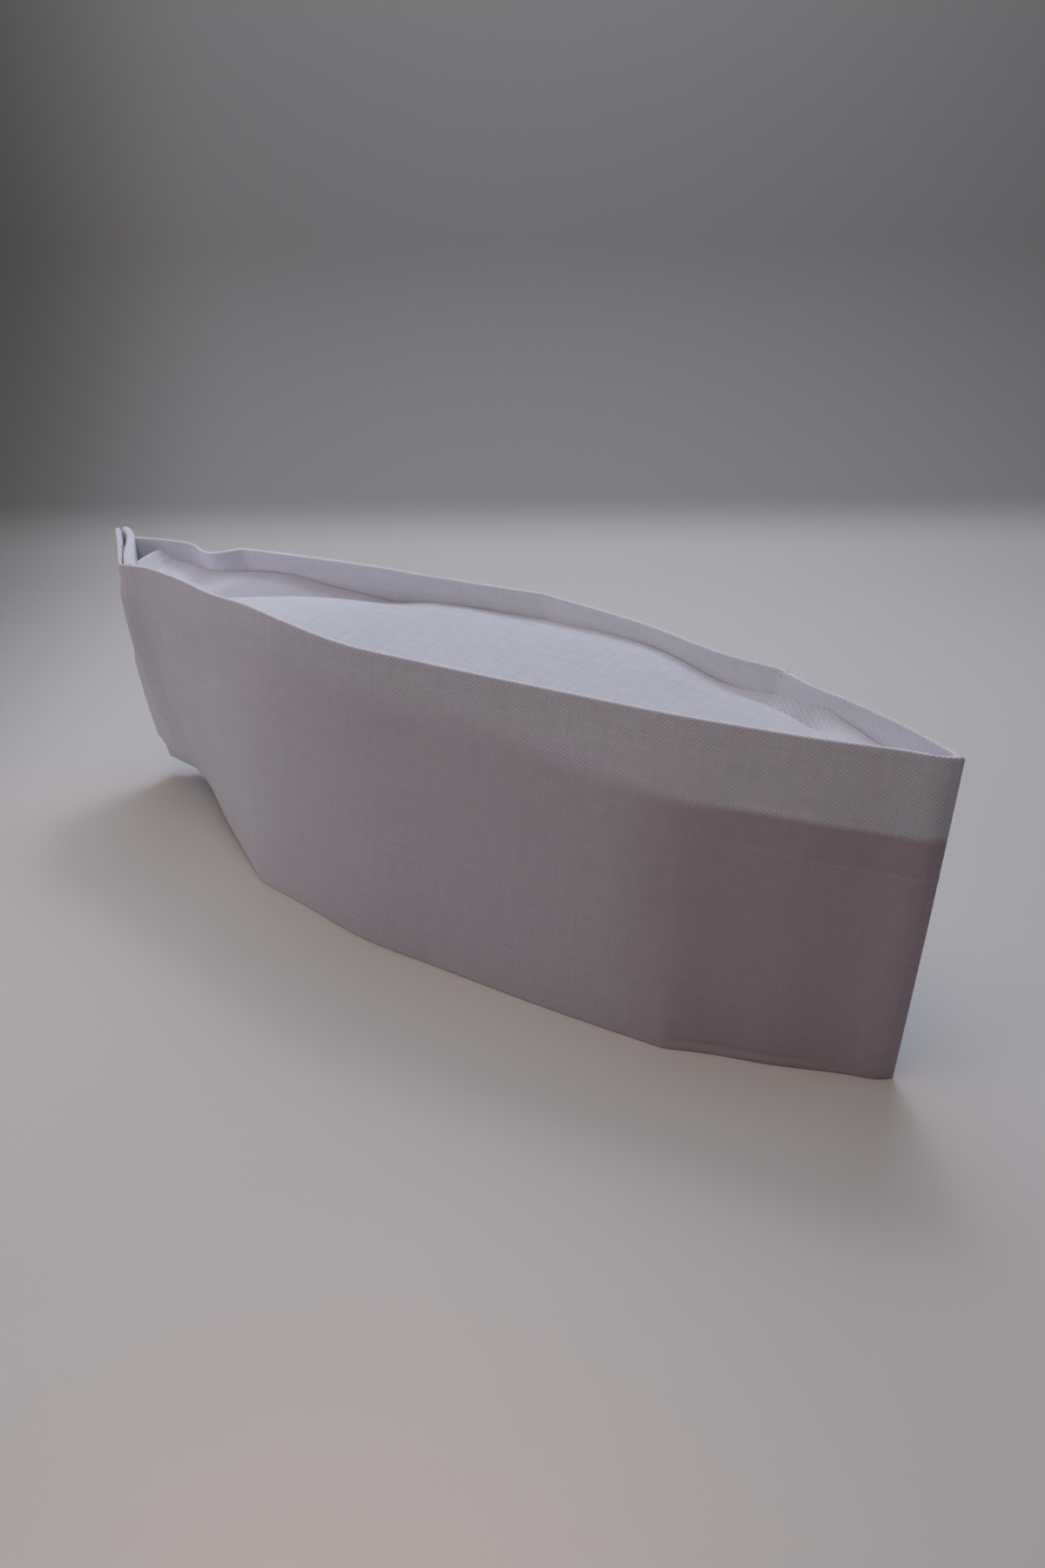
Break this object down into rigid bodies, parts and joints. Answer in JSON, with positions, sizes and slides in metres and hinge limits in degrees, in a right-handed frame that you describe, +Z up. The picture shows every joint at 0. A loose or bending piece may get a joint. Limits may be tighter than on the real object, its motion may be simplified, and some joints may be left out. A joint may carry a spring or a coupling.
{
  "type": "gandhi cap",
  "caption": "Stiff white cotton side cap, a boat of two outer bands with an open head hollow, two inner bands and a sunken crown, standing on its bottom edge.",
  "frame": {"origin": "middle of the cap's box, on the floor that its bottom edge stands on", "axes": "+X to the front end, +Y to the wearer's left side, +Z up; -X is the back end with the turned seam"},
  "size_m": [0.2777, 0.0665, 0.0955],
  "materials": {
    "outer_band_cotton": "matt, starched plain weave",
    "inner_band_cotton": "matt, starched plain weave",
    "crown_cotton": "matt, starched plain weave",
    "seam_tab_cotton": "matt, starched plain weave"
  },
  "bodies": {
    "root": {"right_outer_band": "outer_band_cotton", "left_outer_band": "outer_band_cotton", "right_inner_band": "inner_band_cotton", "left_inner_band": "inner_band_cotton", "crown": "crown_cotton", "back_seam_tab": "seam_tab_cotton"}
  },
  "joints": []
}
